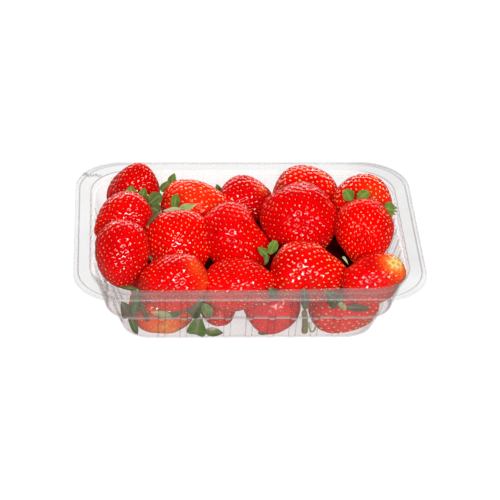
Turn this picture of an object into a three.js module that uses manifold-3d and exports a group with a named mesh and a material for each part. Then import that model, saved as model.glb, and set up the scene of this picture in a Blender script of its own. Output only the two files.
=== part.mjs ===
// A punnet of strawberries: a clear vacuum-formed tray with two layers of berries heaped in it.
// Millimetres, +Z up. The origin lies under the middle of the tray, X runs along its length,
// and Y runs from the front to the back.
import * as THREE from 'three';
import { mergeVertices } from 'three/addons/utils/BufferGeometryUtils.js';
import Module from 'manifold-3d';

const wasm = await Module();
wasm.setup();

// ---------------------------------------------------------------- driving dimensions, tray
const TRAY_LENGTH = 187;
const TRAY_WIDTH = 137;
const TRAY_HEIGHT = 45;
const SHEET = 0.6; // thickness of the plastic
const CORNER_RADIUS = 26; // of the flange's outer edge
const LEAST_CORNER_RADIUS = 11; // of the walls and the base
const CORNER_STEPS = 5; // straight pieces in a corner's quarter turn
const STEEPEST_MITRE = 0.5; // limits how far a sharp fold's outer side reaches

// Where a side's ribs and its corner lie in a ring, as shares of that side.
const RIBS_FROM = 0.1;
const RIBS_TO = 0.7;
const CORNER_FROM = 0.8;
const CORNER_TO = 0.95;

const LIP_DROP = 1.5; // the flange's edge is turned down by this much
const BEAD_WIDTH = 2.4; // raised strip along the flange's edge
const BEAD_RISE = 0.4;
const FLANGE_WIDTH = 9;
const STEP_DEPTH = 3; // shallow step between the flange and the wall
const STEP_WIDTH = 2.6;
const LEDGE_HEIGHT = 19.6; // the wall steps in here, half way down
const LEDGE_TOP_INSET = 17.3;
const LEDGE_INSET = 21.3;
const LEDGE_ROUNDING = 4;
const FOOT_INSET = 26.2; // where the lower wall begins to round into the base
const FOOT_HEIGHT = 4.2;
const BASE_INSET = 30;
const EDGE_ROUNDING = 0.5; // small folds of the sheet

const LONG_SIDE_RIBS = { count: 9, pitch: 11.7 };
const SHORT_SIDE_RIBS = { count: 6, pitch: 10.8 };
const RIB_WIDTH = 3.7;
const RIB_CREST = 1.9; // width of a rib's flat crest
const RIB_RISE = 0.9; // ribs stand out of the wall by this much
const RIB_LEDGE_RISE = 1.9; // and by this much just under the ledge

// ---------------------------------------------------------------- driving dimensions, berries
const CLEARANCE = 0.35; // between the heap and the tray
const HEAP_SEED = 7;
const WELD_DISTANCE = 1e-4; // corners closer than this are one
const ABOVE_ALL = 90; // a height that is over the top of the heap
const BERRY_BLUNTNESS = 0.9; // below 1 the ends are blunter than an egg's
const UPPER_SIDES = 12;
const UPPER_RINGS = 6;
const LOWER_SIDES = 8;
const LOWER_RINGS = 5;

const LEAF_COUNT = 5; // leaves of one green cap
const LEAF_LENGTH = 12;
const LEAF_WIDTH = 6;
const LEAF_THICKNESS = 0.7;
const LEAF_ROOT = 1.2; // the leaves start this far from the berry's axis
const LEAF_SINK = 0.8; // and this far under the berry's skin
const LEAF_LIFT = 3; // the tips end this much higher or lower
const LEAF_UNEVENNESS = 0.35;

const CORE_SIZE = [128, 72, 28]; // the hidden middle that holds the heap together
const CORE_CENTRE = [0, 8, 27];
const CORE_SIDES = 16;
const CORE_BOXINESS = 0.6; // 1 is an ellipsoid, 0 a box

const CLEAR_PLASTIC = { color: 0xe9e7ea, roughness: 0.08, metalness: 0 };
const BERRY_RED = { color: 0xd8120f, roughness: 0.3, metalness: 0 };

// Each berry: where its middle is, its length and width, how much it narrows to its tip, and
// where the tip points: the turn is taken from +X towards the back, and the rise is up from
// level, both in degrees. A berry with cap: true shows its green cap.
const UPPER_LAYER = [
  { at: [-60, 42, 42], length: 34, width: 29, taper: 0.4, turn: 20, rise: 72 },
  { at: [-68, 5, 46], length: 33, width: 30, taper: 0.4, turn: 208, rise: -12, cap: true },
  { at: [-28, 24, 41], length: 38, width: 31, taper: 0.15, turn: -15, rise: -8, cap: true },
  { at: [-67, -25, 44], length: 37, width: 30, taper: 0.2, turn: -85, rise: -40 },
  { at: [-38, -10, 40], length: 38, width: 34, taper: 0.25, turn: -88, rise: -35, cap: true },
  { at: [-5, -7, 41], length: 41, width: 37, taper: 0.25, turn: -68, rise: -38 },
  { at: [2, 35, 39], length: 29, width: 28, taper: 0.2, turn: -30, rise: 5, cap: true },
  { at: [36, 39, 41], length: 35, width: 31, taper: 0.25, turn: -20, rise: -5 },
  { at: [29, 5, 47], length: 39, width: 44, depth: 37, taper: 0.1, turn: -72, rise: -34, cap: true },
  { at: [66, 19, 46], length: 35, width: 32, taper: 0.2, turn: -60, rise: -20, cap: true },
  { at: [62, -10, 48], length: 36, width: 32, taper: 0.2, turn: -100, rise: -50, cap: true },
  { at: [-41, -42, 38], length: 37, width: 30, taper: 0.15, turn: 172, rise: -8 },
  { at: [-6, -40, 34], length: 37, width: 28, taper: 0.3, turn: -8, rise: -2 },
  { at: [31, -33, 38], length: 40, width: 34, taper: 0.25, turn: -8, rise: -3, cap: true },
  { at: [65, -42, 40], length: 34, width: 28, taper: 0.15, turn: 8, rise: 15 },
];
const LOWER_LAYER = [
  { at: [-46, -31, 14.5], length: 32, width: 27, taper: 0.2, turn: 170, rise: -5, cap: true },
  { at: [-18, -29, 13], length: 28, width: 20, taper: 0.3, turn: -80, rise: -15, cap: true },
  { at: [14, -29, 15], length: 31, width: 28, taper: 0.2, turn: 80, rise: 5 },
  { at: [51, -32, 15], length: 37, width: 27, taper: 0.2, turn: -8, rise: -5, cap: true },
  { at: [-52, 2, 16], length: 31, width: 26, taper: 0.25, turn: 30, rise: 0 },
  { at: [-20, 2, 16], length: 32, width: 27, taper: 0.3, turn: -60, rise: 0 },
  { at: [14, 5, 16], length: 32, width: 28, taper: 0.2, turn: 160, rise: 0 },
  { at: [49, 0, 16], length: 32, width: 27, taper: 0.3, turn: 175, rise: 0 },
  { at: [-48, 30, 15], length: 31, width: 26, taper: 0.2, turn: -20, rise: 0 },
  { at: [-15, 32, 15], length: 32, width: 26, taper: 0.3, turn: 190, rise: 0 },
  { at: [21, 32, 16], length: 32, width: 27, taper: 0.2, turn: 10, rise: 0 },
  { at: [52, 30, 17], length: 31, width: 26, taper: 0.3, turn: 120, rise: 5 },
];

// ---------------------------------------------------------------- small helpers

// Repeatable random numbers between 0 and 1, from a linear congruential generator.
function makeRandom(seed) {
  const factor = 1664525;
  const shift = 1013904223;
  const range = 2 ** 32;
  let state = seed;
  return () => {
    state = (state * factor + shift) % range;
    return state / range;
  };
}

// A closed solid from a geometry, with its shared corners merged.
function solidOf(geometry) {
  const bare = geometry.clone();
  bare.deleteAttribute('normal');
  bare.deleteAttribute('uv');
  const merged = mergeVertices(bare, WELD_DISTANCE);
  const faces = [];
  const index = merged.index.array;
  for (let i = 0; i < index.length; i += 3) {
    const [a, b, c] = [index[i], index[i + 1], index[i + 2]];
    if (a !== b && b !== c && c !== a) faces.push(a, b, c);
  }
  return new wasm.Manifold(new wasm.Mesh({
    numProp: 3,
    vertProperties: new Float32Array(merged.attributes.position.array),
    triVerts: new Uint32Array(faces),
  }));
}

function geometryOf(solid) {
  const mesh = solid.getMesh();
  const geometry = new THREE.BufferGeometry();
  geometry.setAttribute('position', new THREE.BufferAttribute(mesh.vertProperties, 3));
  geometry.setIndex(new THREE.BufferAttribute(mesh.triVerts, 1));
  geometry.computeVertexNormals();
  return geometry;
}

function geometryFromFaces(points, faces) {
  const geometry = new THREE.BufferGeometry();
  geometry.setAttribute('position', new THREE.Float32BufferAttribute(points.flat(), 3));
  geometry.setIndex(faces.flat());
  return geometry;
}

// ---------------------------------------------------------------- tray

// The sheet's upper face from the lip's lower edge to the base, as [inset, height, rib rise].
function sheetProfile() {
  const wallTopInset = FLANGE_WIDTH + STEP_WIDTH;
  const flangeTop = TRAY_HEIGHT - BEAD_RISE;
  const stepBottom = TRAY_HEIGHT - STEP_DEPTH;
  return [
    [0, TRAY_HEIGHT - LIP_DROP, 0],
    [0, TRAY_HEIGHT - EDGE_ROUNDING, 0],
    [EDGE_ROUNDING, TRAY_HEIGHT, 0],
    [BEAD_WIDTH, TRAY_HEIGHT, 0],
    [BEAD_WIDTH + EDGE_ROUNDING, flangeTop, 0],
    [FLANGE_WIDTH - EDGE_ROUNDING, flangeTop, 0],
    [FLANGE_WIDTH, flangeTop - EDGE_ROUNDING, 0],
    [FLANGE_WIDTH + EDGE_ROUNDING, stepBottom + EDGE_ROUNDING, 0],
    [wallTopInset, stepBottom - EDGE_ROUNDING, 0],
    [wallTopInset + EDGE_ROUNDING, stepBottom - 3 * EDGE_ROUNDING, RIB_RISE],
    [LEDGE_TOP_INSET, LEDGE_HEIGHT + LEDGE_ROUNDING, RIB_RISE],
    [LEDGE_TOP_INSET + LEDGE_ROUNDING / 3, LEDGE_HEIGHT + LEDGE_ROUNDING / 4, RIB_RISE],
    [LEDGE_INSET, LEDGE_HEIGHT, RIB_LEDGE_RISE],
    [LEDGE_INSET + 2 * EDGE_ROUNDING, LEDGE_HEIGHT - LEDGE_ROUNDING, RIB_RISE],
    [FOOT_INSET, FOOT_HEIGHT, RIB_RISE],
    [(FOOT_INSET + BASE_INSET) / 2, (FOOT_HEIGHT + SHEET) / 3, RIB_RISE],
    [BASE_INSET, SHEET, 0],
  ];
}

// The sheet's lower face: every point of the upper face moved square to it by the thickness.
function thickenProfile(profile) {
  return profile.map(([inset, height, rib], i) => {
    const before = profile[Math.max(i - 1, 0)];
    const after = profile[Math.min(i + 1, profile.length - 1)];
    const along = (from, to) => new THREE.Vector2(to[0] - from[0], to[1] - from[1]).normalize();
    const first = i > 0 ? along(before, profile[i]) : along(profile[i], after);
    const second = i < profile.length - 1 ? along(profile[i], after) : new THREE.Vector2(1, 0);
    const middle = first.clone().add(second).normalize();
    const reach = SHEET / Math.max(middle.dot(first), STEEPEST_MITRE);
    return [inset + middle.y * reach, height - middle.x * reach, rib];
  });
}

// The ribs of one side at one level, as [place along the side, rise, station].
function ribPoints({ count, pitch }, ribRise) {
  const halfWidth = RIB_WIDTH / 2;
  const halfCrest = RIB_CREST / 2;
  const outline = [[-halfWidth, 0], [-halfCrest, ribRise], [halfCrest, ribRise], [halfWidth, 0]];
  const span = (count + 1) * pitch;
  const points = [];
  for (let rib = 0; rib < count; rib += 1) {
    const middle = (rib - (count - 1) / 2) * pitch;
    for (const [offset, rise] of outline) {
      const share = (middle + offset) / span + 0.5;
      points.push([middle + offset, rise, RIBS_FROM + (RIBS_TO - RIBS_FROM) * share]);
    }
  }
  return points;
}

// One level of the tray: a rounded rectangle that starts on the front wall and runs against the
// clock. Each point has its place (station) round the ring, from 0 to 4, so that levels with
// and without ribs can be joined.
function trayRing([inset, height, ribRise]) {
  const radius = Math.max(CORNER_RADIUS - inset, LEAST_CORNER_RADIUS);
  const ring = [];
  for (let side = 0; side < 4; side += 1) {
    const isLong = side % 2 === 0;
    const halfRun = (isLong ? TRAY_LENGTH : TRAY_WIDTH) / 2 - inset - radius;
    const halfAcross = (isLong ? TRAY_WIDTH : TRAY_LENGTH) / 2 - inset;
    const turn = side * Math.PI / 2;
    const addPoint = (along, out, station) => {
      const x = along * Math.cos(turn) + out * Math.sin(turn);
      const y = along * Math.sin(turn) - out * Math.cos(turn);
      ring.push({ station: side + station, point: [x, y, height] });
    };
    const ribs = isLong ? LONG_SIDE_RIBS : SHORT_SIDE_RIBS;
    for (const [along, rise, station] of ribRise > 0 ? ribPoints(ribs, ribRise) : []) {
      addPoint(along, halfAcross + rise, station);
    }
    for (let step = 0; step <= CORNER_STEPS; step += 1) {
      const share = step / CORNER_STEPS;
      const angle = share * Math.PI / 2;
      const along = halfRun + radius * Math.sin(angle);
      const out = halfAcross - radius + radius * Math.cos(angle);
      addPoint(along, out, CORNER_FROM + (CORNER_TO - CORNER_FROM) * share);
    }
  }
  return ring;
}

// Triangles between two neighbouring rings, always stepping along the one that lags behind.
function joinRings(first, second, firstStart, secondStart) {
  const stationAfter = (ring, i) => {
    if (i >= ring.length) return Infinity;
    return i + 1 < ring.length ? ring[i + 1].station : 4 + ring[0].station;
  };
  const faces = [];
  let i = 0;
  let j = 0;
  while (i < first.length || j < second.length) {
    const a = firstStart + i % first.length;
    const b = secondStart + j % second.length;
    if (stationAfter(first, i) <= stationAfter(second, j)) {
      i += 1;
      faces.push([a, firstStart + i % first.length, b]);
    } else {
      j += 1;
      faces.push([a, secondStart + j % second.length, b]);
    }
  }
  return faces;
}

function ringCap({ ring, start }) {
  const outline = ring.map(({ point }) => new THREE.Vector2(point[0], point[1]));
  return THREE.ShapeUtils.triangulateShape(outline, []).map((face) => face.map((i) => start + i));
}

// Rings at each level, joined from one to the next.
function stackRings(levels) {
  const points = [];
  const faces = [];
  const stack = levels.map((level) => {
    const ring = trayRing(level);
    const start = points.length;
    points.push(...ring.map(({ point }) => point));
    return { ring, start };
  });
  for (let i = 1; i < stack.length; i += 1) {
    const [last, next] = [stack[i - 1], stack[i]];
    faces.push(...joinRings(last.ring, next.ring, last.start, next.start));
  }
  return { points, faces, first: stack[0], last: stack[stack.length - 1] };
}

// Both faces of the sheet, joined at the lip's lower edge.
function traySolid() {
  const profile = sheetProfile();
  const upper = stackRings(profile);
  const lower = stackRings(thickenProfile(profile));
  const offset = upper.points.length;
  const lowerFaces = [...lower.faces, ...ringCap(lower.last)];
  const turned = lowerFaces.map(([a, b, c]) => [offset + a, offset + c, offset + b]);
  const edge = joinRings(lower.first.ring, upper.first.ring, offset, 0);
  const faces = [...upper.faces, ...ringCap(upper.last), ...turned, ...edge];
  return solidOf(geometryFromFaces([...upper.points, ...lower.points], faces));
}

// The room inside the tray, less a small clearance, open to well above the heap.
function traySpace() {
  const inside = sheetProfile().filter(([inset]) => inset > FLANGE_WIDTH).reverse();
  const levels = inside.map(([inset, height]) => [inset + CLEARANCE, height + CLEARANCE, 0]);
  const mouthInset = FLANGE_WIDTH + 2 * CLEARANCE;
  levels.push([mouthInset, TRAY_HEIGHT + CLEARANCE, 0], [mouthInset, ABOVE_ALL, 0]);
  const { points, faces, first, last } = stackRings(levels);
  const floor = ringCap(first).map(([a, b, c]) => [a, c, b]);
  return solidOf(geometryFromFaces(points, [...floor, ...faces, ...ringCap(last)]));
}

// ---------------------------------------------------------------- berries

// A berry's half outline from its tip (0) to its green cap (1): how wide it is there, as a
// share of its greatest width. The more it tapers, the wider its shoulder is than its tip.
function berryWidthAt(share, taper) {
  const angle = share * Math.PI;
  const widening = (1 - taper * Math.cos(angle)) / (1 + taper ** 2 / 2);
  return Math.sin(angle) ** BERRY_BLUNTNESS * widening;
}

// A berry that stands on its tip with the middle at the origin and the green cap at +Z.
function berryBody({ length, width, depth = width, taper }, sides, rings) {
  const outline = [];
  for (let ring = 0; ring <= rings; ring += 1) {
    const share = ring / rings;
    const isEnd = ring === 0 || ring === rings;
    const radius = isEnd ? 0 : width / 2 * berryWidthAt(share, taper);
    outline.push(new THREE.Vector2(radius, -length / 2 * Math.cos(share * Math.PI)));
  }
  const body = new THREE.LatheGeometry(outline, sides);
  body.rotateX(Math.PI / 2);
  body.scale(1, depth / width, 1);
  return body;
}

// One thin leaf of a green cap: it starts under the skin at the berry's axis, is folded along
// its middle, and lifts at its tip. Its lower and upper faces are split alike.
function capLeaf(berry, angle, random) {
  const uneven = () => 1 + LEAF_UNEVENNESS * (2 * random() - 1);
  const length = LEAF_LENGTH * uneven();
  const half = LEAF_WIDTH / 2 * uneven();
  const root = berry.length / 2 - LEAF_SINK;
  const middle = root + LEAF_SINK / 2;
  const tip = middle + LEAF_LIFT * (2 * random() - 1);
  const fold = half / 3;
  const outline = [
    [LEAF_ROOT, -half / 2, root], [LEAF_ROOT, 0, root], [LEAF_ROOT, half / 2, root],
    [length / 2, -half, middle + fold], [length / 2, 0, middle], [length / 2, half, middle + fold],
    [length, 0, tip],
  ];
  const faces = [[0, 3, 4], [0, 4, 1], [1, 4, 5], [1, 5, 2], [3, 6, 4], [4, 6, 5]];
  const rim = [0, 3, 6, 5, 2, 1];
  const count = outline.length;
  const points = [...outline, ...outline.map(([x, y, z]) => [x, y, z + LEAF_THICKNESS])];
  const upper = faces.map((face) => face.map((i) => i + count));
  const lower = faces.map(([a, b, c]) => [a, c, b]);
  const edge = rim.flatMap((a, i) => {
    const b = rim[(i + 1) % rim.length];
    return [[a, b, b + count], [a, b + count, a + count]];
  });
  return geometryFromFaces(points, [...lower, ...upper, ...edge]).rotateZ(angle);
}

// Turns and moves a shape that was made round a berry's own axis to the berry's place.
function layInPlace(geometry, { at, turn, rise }) {
  const heading = THREE.MathUtils.degToRad(turn);
  const pitch = THREE.MathUtils.degToRad(rise);
  const level = Math.cos(pitch);
  const cap = new THREE.Vector3(level * Math.cos(heading), level * Math.sin(heading), Math.sin(pitch));
  cap.negate();
  const side = new THREE.Vector3(-Math.sin(heading), Math.cos(heading), 0);
  const third = cap.clone().cross(side);
  const placed = new THREE.Matrix4().makeBasis(side, third, cap);
  return geometry.applyMatrix4(placed.setPosition(...at));
}

function berryParts(berry, sides, rings, random) {
  const parts = [solidOf(layInPlace(berryBody(berry, sides, rings), berry))];
  if (!berry.cap) return parts;
  const start = random() * Math.PI;
  for (let leaf = 0; leaf < LEAF_COUNT; leaf += 1) {
    const angle = start + leaf / LEAF_COUNT * 2 * Math.PI;
    parts.push(solidOf(layInPlace(capLeaf(berry, angle, random), berry)));
  }
  return parts;
}

function coreSolid() {
  const core = new THREE.SphereGeometry(1, CORE_SIDES, CORE_SIDES / 2);
  core.rotateX(Math.PI / 2);
  const { array } = core.attributes.position;
  array.forEach((value, i) => {
    array[i] = Math.sign(value) * Math.abs(value) ** CORE_BOXINESS;
  });
  core.scale(...CORE_SIZE.map((size) => size / 2));
  core.translate(...CORE_CENTRE);
  return solidOf(core);
}

// All berries with their caps, joined to the core and cut to the room in the tray. Only the
// outer skin of the joined heap is kept, so sealed hollows are filled and loose scraps go.
function heapSolid() {
  const random = makeRandom(HEAP_SEED);
  const upper = UPPER_LAYER.flatMap((berry) => berryParts(berry, UPPER_SIDES, UPPER_RINGS, random));
  const lower = LOWER_LAYER.flatMap((berry) => berryParts(berry, LOWER_SIDES, LOWER_RINGS, random));
  const joined = [...upper, ...lower].reduce((heap, part) => heap.add(part), coreSolid());
  const pieces = joined.intersect(traySpace()).decompose();
  return pieces.reduce((largest, piece) => (piece.volume() > largest.volume() ? piece : largest));
}

// ---------------------------------------------------------------- the whole punnet

function part(name, solid, look) {
  const mesh = new THREE.Mesh(geometryOf(solid), new THREE.MeshStandardMaterial(look));
  mesh.name = name;
  return mesh;
}

const punnet = new THREE.Group();
punnet.add(part('tray', traySolid(), CLEAR_PLASTIC));
punnet.add(part('strawberries', heapSolid(), BERRY_RED));

export default punnet;
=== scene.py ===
# %% [markdown]
# # A clear punnet heaped with strawberries
#
# A fruit punnet is a tray of thin clear plastic, drawn by vacuum over a mould, with ripe berries
# heaped in it. In this lesson we build it in Blender around a fixed construction model: the
# tray's sheet first, then the berries with a pit for each seed, the seeds, the green caps, and
# the dark middle of the heap. Lengths are written in millimetres and turned into Blender's
# metres where a mesh is made.

import math

import bmesh
import bpy
import numpy as np
from mathutils import Matrix, Vector
from mathutils.kdtree import KDTree


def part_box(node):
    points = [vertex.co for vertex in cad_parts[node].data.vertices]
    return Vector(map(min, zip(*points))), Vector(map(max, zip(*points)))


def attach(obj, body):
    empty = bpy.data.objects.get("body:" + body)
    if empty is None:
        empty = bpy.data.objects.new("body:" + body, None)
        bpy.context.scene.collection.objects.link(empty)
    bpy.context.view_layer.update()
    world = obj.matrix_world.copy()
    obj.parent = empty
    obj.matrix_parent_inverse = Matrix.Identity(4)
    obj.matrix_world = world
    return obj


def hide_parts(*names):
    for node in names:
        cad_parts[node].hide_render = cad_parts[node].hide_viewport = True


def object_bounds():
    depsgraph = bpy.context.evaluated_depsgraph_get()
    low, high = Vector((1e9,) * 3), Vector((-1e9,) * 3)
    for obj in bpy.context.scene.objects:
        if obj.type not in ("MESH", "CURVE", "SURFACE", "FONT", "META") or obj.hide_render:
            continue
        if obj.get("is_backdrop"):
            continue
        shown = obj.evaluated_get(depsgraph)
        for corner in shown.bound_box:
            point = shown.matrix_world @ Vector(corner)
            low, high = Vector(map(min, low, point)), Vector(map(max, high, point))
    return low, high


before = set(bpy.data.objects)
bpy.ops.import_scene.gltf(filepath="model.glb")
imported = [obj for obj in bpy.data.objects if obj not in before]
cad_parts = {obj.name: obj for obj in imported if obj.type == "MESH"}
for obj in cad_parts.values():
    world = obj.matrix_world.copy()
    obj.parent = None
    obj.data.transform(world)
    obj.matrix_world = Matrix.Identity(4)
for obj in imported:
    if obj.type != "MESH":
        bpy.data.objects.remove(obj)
cad_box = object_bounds()
MM = 0.001
tray_low, tray_high = (np.array(corner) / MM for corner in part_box("tray"))
print("the tray measures", np.round(tray_high - tray_low, 1), "mm")

# %% [markdown]
# ## Helpers
#
# An operator works on all that is selected, so each step starts by selecting one piece only.
# A mesh's points are read and written as one array, in millimetres, which keeps the shaping
# formulas short.


# %% Selecting, reading and writing
def take(*pieces):
    """Selects these pieces and nothing else, and makes the first one active."""
    for other in bpy.context.selected_objects:
        other.select_set(False)
    for piece in pieces:
        piece.select_set(True)
    bpy.context.view_layer.objects.active = pieces[0]


def named(name):
    """Names the piece that was just added."""
    piece = bpy.context.object
    piece.name = piece.data.name = name
    return piece


def points_of(mesh):
    """All points of a mesh, in millimetres."""
    points = np.empty(len(mesh.vertices) * 3, np.float32)
    mesh.vertices.foreach_get("co", points)
    return points.reshape(-1, 3).astype(float) / MM


def write_points(mesh, points):
    """Moves all points of a mesh to these places, in millimetres."""
    mesh.vertices.foreach_set("co", (points * MM).astype(np.float32).ravel())
    mesh.update()


def write_attribute(mesh, name, values):
    """Writes one number on each point, for a material to read."""
    attribute = mesh.attributes.get(name) or mesh.attributes.new(name, "FLOAT", "POINT")
    attribute.data.foreach_set("value", np.asarray(values, np.float32))


def apply_modifier(piece, kind, **settings):
    """Adds a modifier with these settings and applies it."""
    take(piece)
    modifier = piece.modifiers.new(kind.title(), kind)
    for name, value in settings.items():
        setattr(modifier, name, value)
    bpy.ops.object.modifier_apply(modifier=modifier.name)


def join(pieces, name):
    """Joins pieces into one of that name."""
    take(*pieces)
    bpy.ops.object.join()
    return named(name)


def piece_from(name, points, faces):
    """A piece whose mesh is many copies of one small model, given as points and faces."""
    mesh = bpy.data.meshes.new(name)
    mesh.from_pydata((points * MM).tolist(), [], faces)
    piece = bpy.data.objects.new(name, mesh)
    bpy.context.collection.objects.link(piece)
    return piece


def smooth(piece):
    take(piece)
    bpy.ops.object.shade_smooth()


def unit(direction):
    """The same direction with a length of 1."""
    return np.array(direction) / np.linalg.norm(direction)


def fade(distance, length):
    """0 up to a place, then growing to 1 over this length."""
    return np.clip(distance / length, 0, 1)


# %% [markdown]
# ## Camera
#
# The punnet is seen from the front, from about 34 degrees above, through a long lens. The
# camera also leans by two degrees, as a hand-held one does.

# %% Camera
VIEW_TURN = math.radians(-4.05)
VIEW_RISE = math.radians(33.69)
VIEW_LEAN = math.radians(2.11)
VIEW_TARGET = Vector((0.59, -22.14, 45)) * MM
VIEW_DISTANCE = 1213.2 * MM
LENS = 163.3
FARTHEST_SEEN = 20  # metres

back = Vector((
    math.sin(VIEW_TURN) * math.cos(VIEW_RISE),
    -math.cos(VIEW_TURN) * math.cos(VIEW_RISE),
    math.sin(VIEW_RISE),
))
right = Vector((0, 0, 1)).cross(back).normalized()
up = back.cross(right)
leaning_right = right * math.cos(VIEW_LEAN) + up * math.sin(VIEW_LEAN)
leaning_up = up * math.cos(VIEW_LEAN) - right * math.sin(VIEW_LEAN)
bpy.ops.object.camera_add()
camera = bpy.context.object
turn = Matrix((leaning_right, leaning_up, back)).transposed().to_4x4()
camera.matrix_world = Matrix.Translation(VIEW_TARGET + back * VIEW_DISTANCE) @ turn
camera.data.lens = LENS
camera.data.clip_end = FARTHEST_SEEN
bpy.context.scene.camera = camera
print("camera at", [round(value, 3) for value in camera.location], "m")

# %% [markdown]
# ## Studio
#
# Wet fruit in clear plastic shows what stands round it, so the studio is kept simple: a pale
# floor and a dim surround. A long, narrow key light in front puts the bright curls round the
# seed pits. The light overhead is not mirrored, so it leaves no patch on the wet skin, and a
# low light behind the punnet draws white beads on the far shoulders.


# %% Setting a node's input
def feed(tree, socket, value):
    """Links an input to another node's output, or writes a number or a colour to it."""
    if isinstance(value, bpy.types.NodeSocket):
        tree.links.new(value, socket)
    elif isinstance(value, tuple):
        socket.default_value = (*value, 1)
    else:
        socket.default_value = value


def new_material(name, **constants):
    """A material with its Principled shader's plain values set."""
    material = bpy.data.materials.new(name)
    material.use_nodes = True
    shader = material.node_tree.nodes["Principled BSDF"]
    for label, value in constants.items():
        feed(material.node_tree, shader.inputs[label.replace("_", " ")], value)
    return material, material.node_tree, shader


# %% Floor and surround
scene = bpy.context.scene
scene.view_settings.view_transform = "Standard"
scene.view_settings.look = "Medium High Contrast"
scene.cycles.transparent_max_bounces = 32  # a slanting look can cross many layers of the sheet

FLOOR_SIZE = 6
FLOOR_GAP = 0.3 * MM  # the floor lies this far under the tray, so that no faces coincide
SURROUND_STRENGTH = 0.035
FLOOR_GLOW = 0.77  # the floor's own brightness as the camera sees it
FLOOR_FILL = 0.65  # as a light that falls on the punnet
FLOOR_GLINT = 0.05  # and as the berries mirror it, which keeps their skin a clean red
FLOOR_SHADE = 0.15  # what the floor throws back of the light that falls on it

bpy.ops.mesh.primitive_plane_add(size=FLOOR_SIZE, location=(0, 0, -FLOOR_GAP))
floor = named("floor")
floor_paint, tree, shader = new_material(
    "floor_white", Base_Color=(FLOOR_SHADE,) * 3, Roughness=0.9, Emission_Color=(1, 1, 1),
)
seen = tree.nodes.new("ShaderNodeLightPath")
glow = FLOOR_GLINT
for kind, brightness in (("Is Diffuse Ray", FLOOR_FILL), ("Is Camera Ray", FLOOR_GLOW)):
    switch = tree.nodes.new("ShaderNodeMapRange")
    feed(tree, switch.inputs["Value"], seen.outputs[kind])
    feed(tree, switch.inputs["To Min"], glow)
    feed(tree, switch.inputs["To Max"], brightness)
    glow = switch.outputs["Result"]
feed(tree, shader.inputs["Emission Strength"], glow)
floor.data.materials.append(floor_paint)
floor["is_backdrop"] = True

surround = bpy.data.worlds.new("white_surround")
surround.use_nodes = True
background = surround.node_tree.nodes["Background"]
background.inputs["Color"].default_value = (1, 1, 1, 1)
background.inputs["Strength"].default_value = SURROUND_STRENGTH
scene.world = surround
print("the floor glows", FLOOR_GLOW, "and the surround", SURROUND_STRENGTH)


# %% Lights
def soft_light(name, place, size, power, mirrored=True):
    """A light of that width and height in metres, turned to the punnet. Its power is in watts."""
    bpy.ops.object.light_add(type="AREA", location=place)
    light = bpy.context.object
    light.name = name
    light.data.shape = "RECTANGLE"
    light.data.size, light.data.size_y = size
    light.data.energy = power
    light.visible_glossy = mirrored
    light.rotation_euler = (Vector(place) - VIEW_TARGET).to_track_quat("Z", "Y").to_euler()


soft_light("key_light", place=(0.05, -1.24, 0.86), size=(1.3, 0.19), power=22)
soft_light("top_light", place=(0.15, 0.4, 1.25), size=(1.5, 1.0), power=11, mirrored=False)
soft_light("back_light", place=(0, 1.25, 0.4), size=(2.4, 0.13), power=9.0)

# %% [markdown]
# ## Shared effects
#
# Fruit, leaves and plastic are never one flat colour. One node group gives a soft mottled mask
# between two limits, and a second one gives fine grain for bumps. Both read Object
# coordinates, so the pattern stays with the piece.


# %% Node helpers
def add_node(tree, kind, **inputs):
    """A node of this kind, with its inputs set by name."""
    node = tree.nodes.new(kind)
    for label, value in inputs.items():
        feed(tree, node.inputs[label.replace("_", " ")], value)
    return node


def math_node(tree, operation, first, second, clamp=False):
    """Two numbers or sockets, added or multiplied and so on."""
    node = tree.nodes.new("ShaderNodeMath")
    node.operation = operation
    node.use_clamp = clamp
    feed(tree, node.inputs[0], first)
    feed(tree, node.inputs[1], second)
    return node.outputs[0]


def new_group(name, numbers, output):
    """An empty node group with number inputs and one number output."""
    group = bpy.data.node_groups.new(name, "ShaderNodeTree")
    for label, value in numbers.items():
        socket = group.interface.new_socket(label, in_out="INPUT", socket_type="NodeSocketFloat")
        socket.default_value = value
    group.interface.new_socket(output, in_out="OUTPUT", socket_type="NodeSocketFloat")
    inlet = group.nodes.new("NodeGroupInput")
    outlet = group.nodes.new("NodeGroupOutput")
    return group, inlet, outlet


def object_noise(group, inlet, detail, roughness):
    """Noise on Object coordinates inside a group, at the group's own Scale."""
    place = group.nodes.new("ShaderNodeTexCoord")
    noise = add_node(group, "ShaderNodeTexNoise", Detail=detail, Roughness=roughness)
    group.links.new(place.outputs["Object"], noise.inputs["Vector"])
    group.links.new(inlet.outputs["Scale"], noise.inputs["Scale"])
    return noise


# %% Mottle and grain
mottle, inlet, outlet = new_group("mottle", {"Scale": 80, "Low": 0, "High": 1}, "Mask")
blotches = object_noise(mottle, inlet, 3, 0.55)
spread = add_node(
    mottle, "ShaderNodeMapRange", Value=blotches.outputs["Fac"], From_Min=0.32, From_Max=0.68,
    To_Min=inlet.outputs["Low"], To_Max=inlet.outputs["High"],
)
mottle.links.new(spread.outputs["Result"], outlet.inputs["Mask"])

grain, inlet, outlet = new_group("grain", {"Scale": 900, "Depth": 1}, "Height")
specks = object_noise(grain, inlet, 2, 0.6)
deepened = math_node(grain, "MULTIPLY", specks.outputs["Fac"], inlet.outputs["Depth"])
grain.links.new(deepened, outlet.inputs["Height"])
print("shared effects:", mottle.name, "and", grain.name)


# %% Use them in a material
MIX_SOCKETS = (0, 6, 7)  # a colour mix's share and its two colours
MIX_RESULT = 2


def add_group(tree, group, **numbers):
    """Places a shared effect in a material, with its own numbers."""
    node = tree.nodes.new("ShaderNodeGroup")
    node.node_tree = group
    for label, value in numbers.items():
        node.inputs[label].default_value = value
    return node


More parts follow.
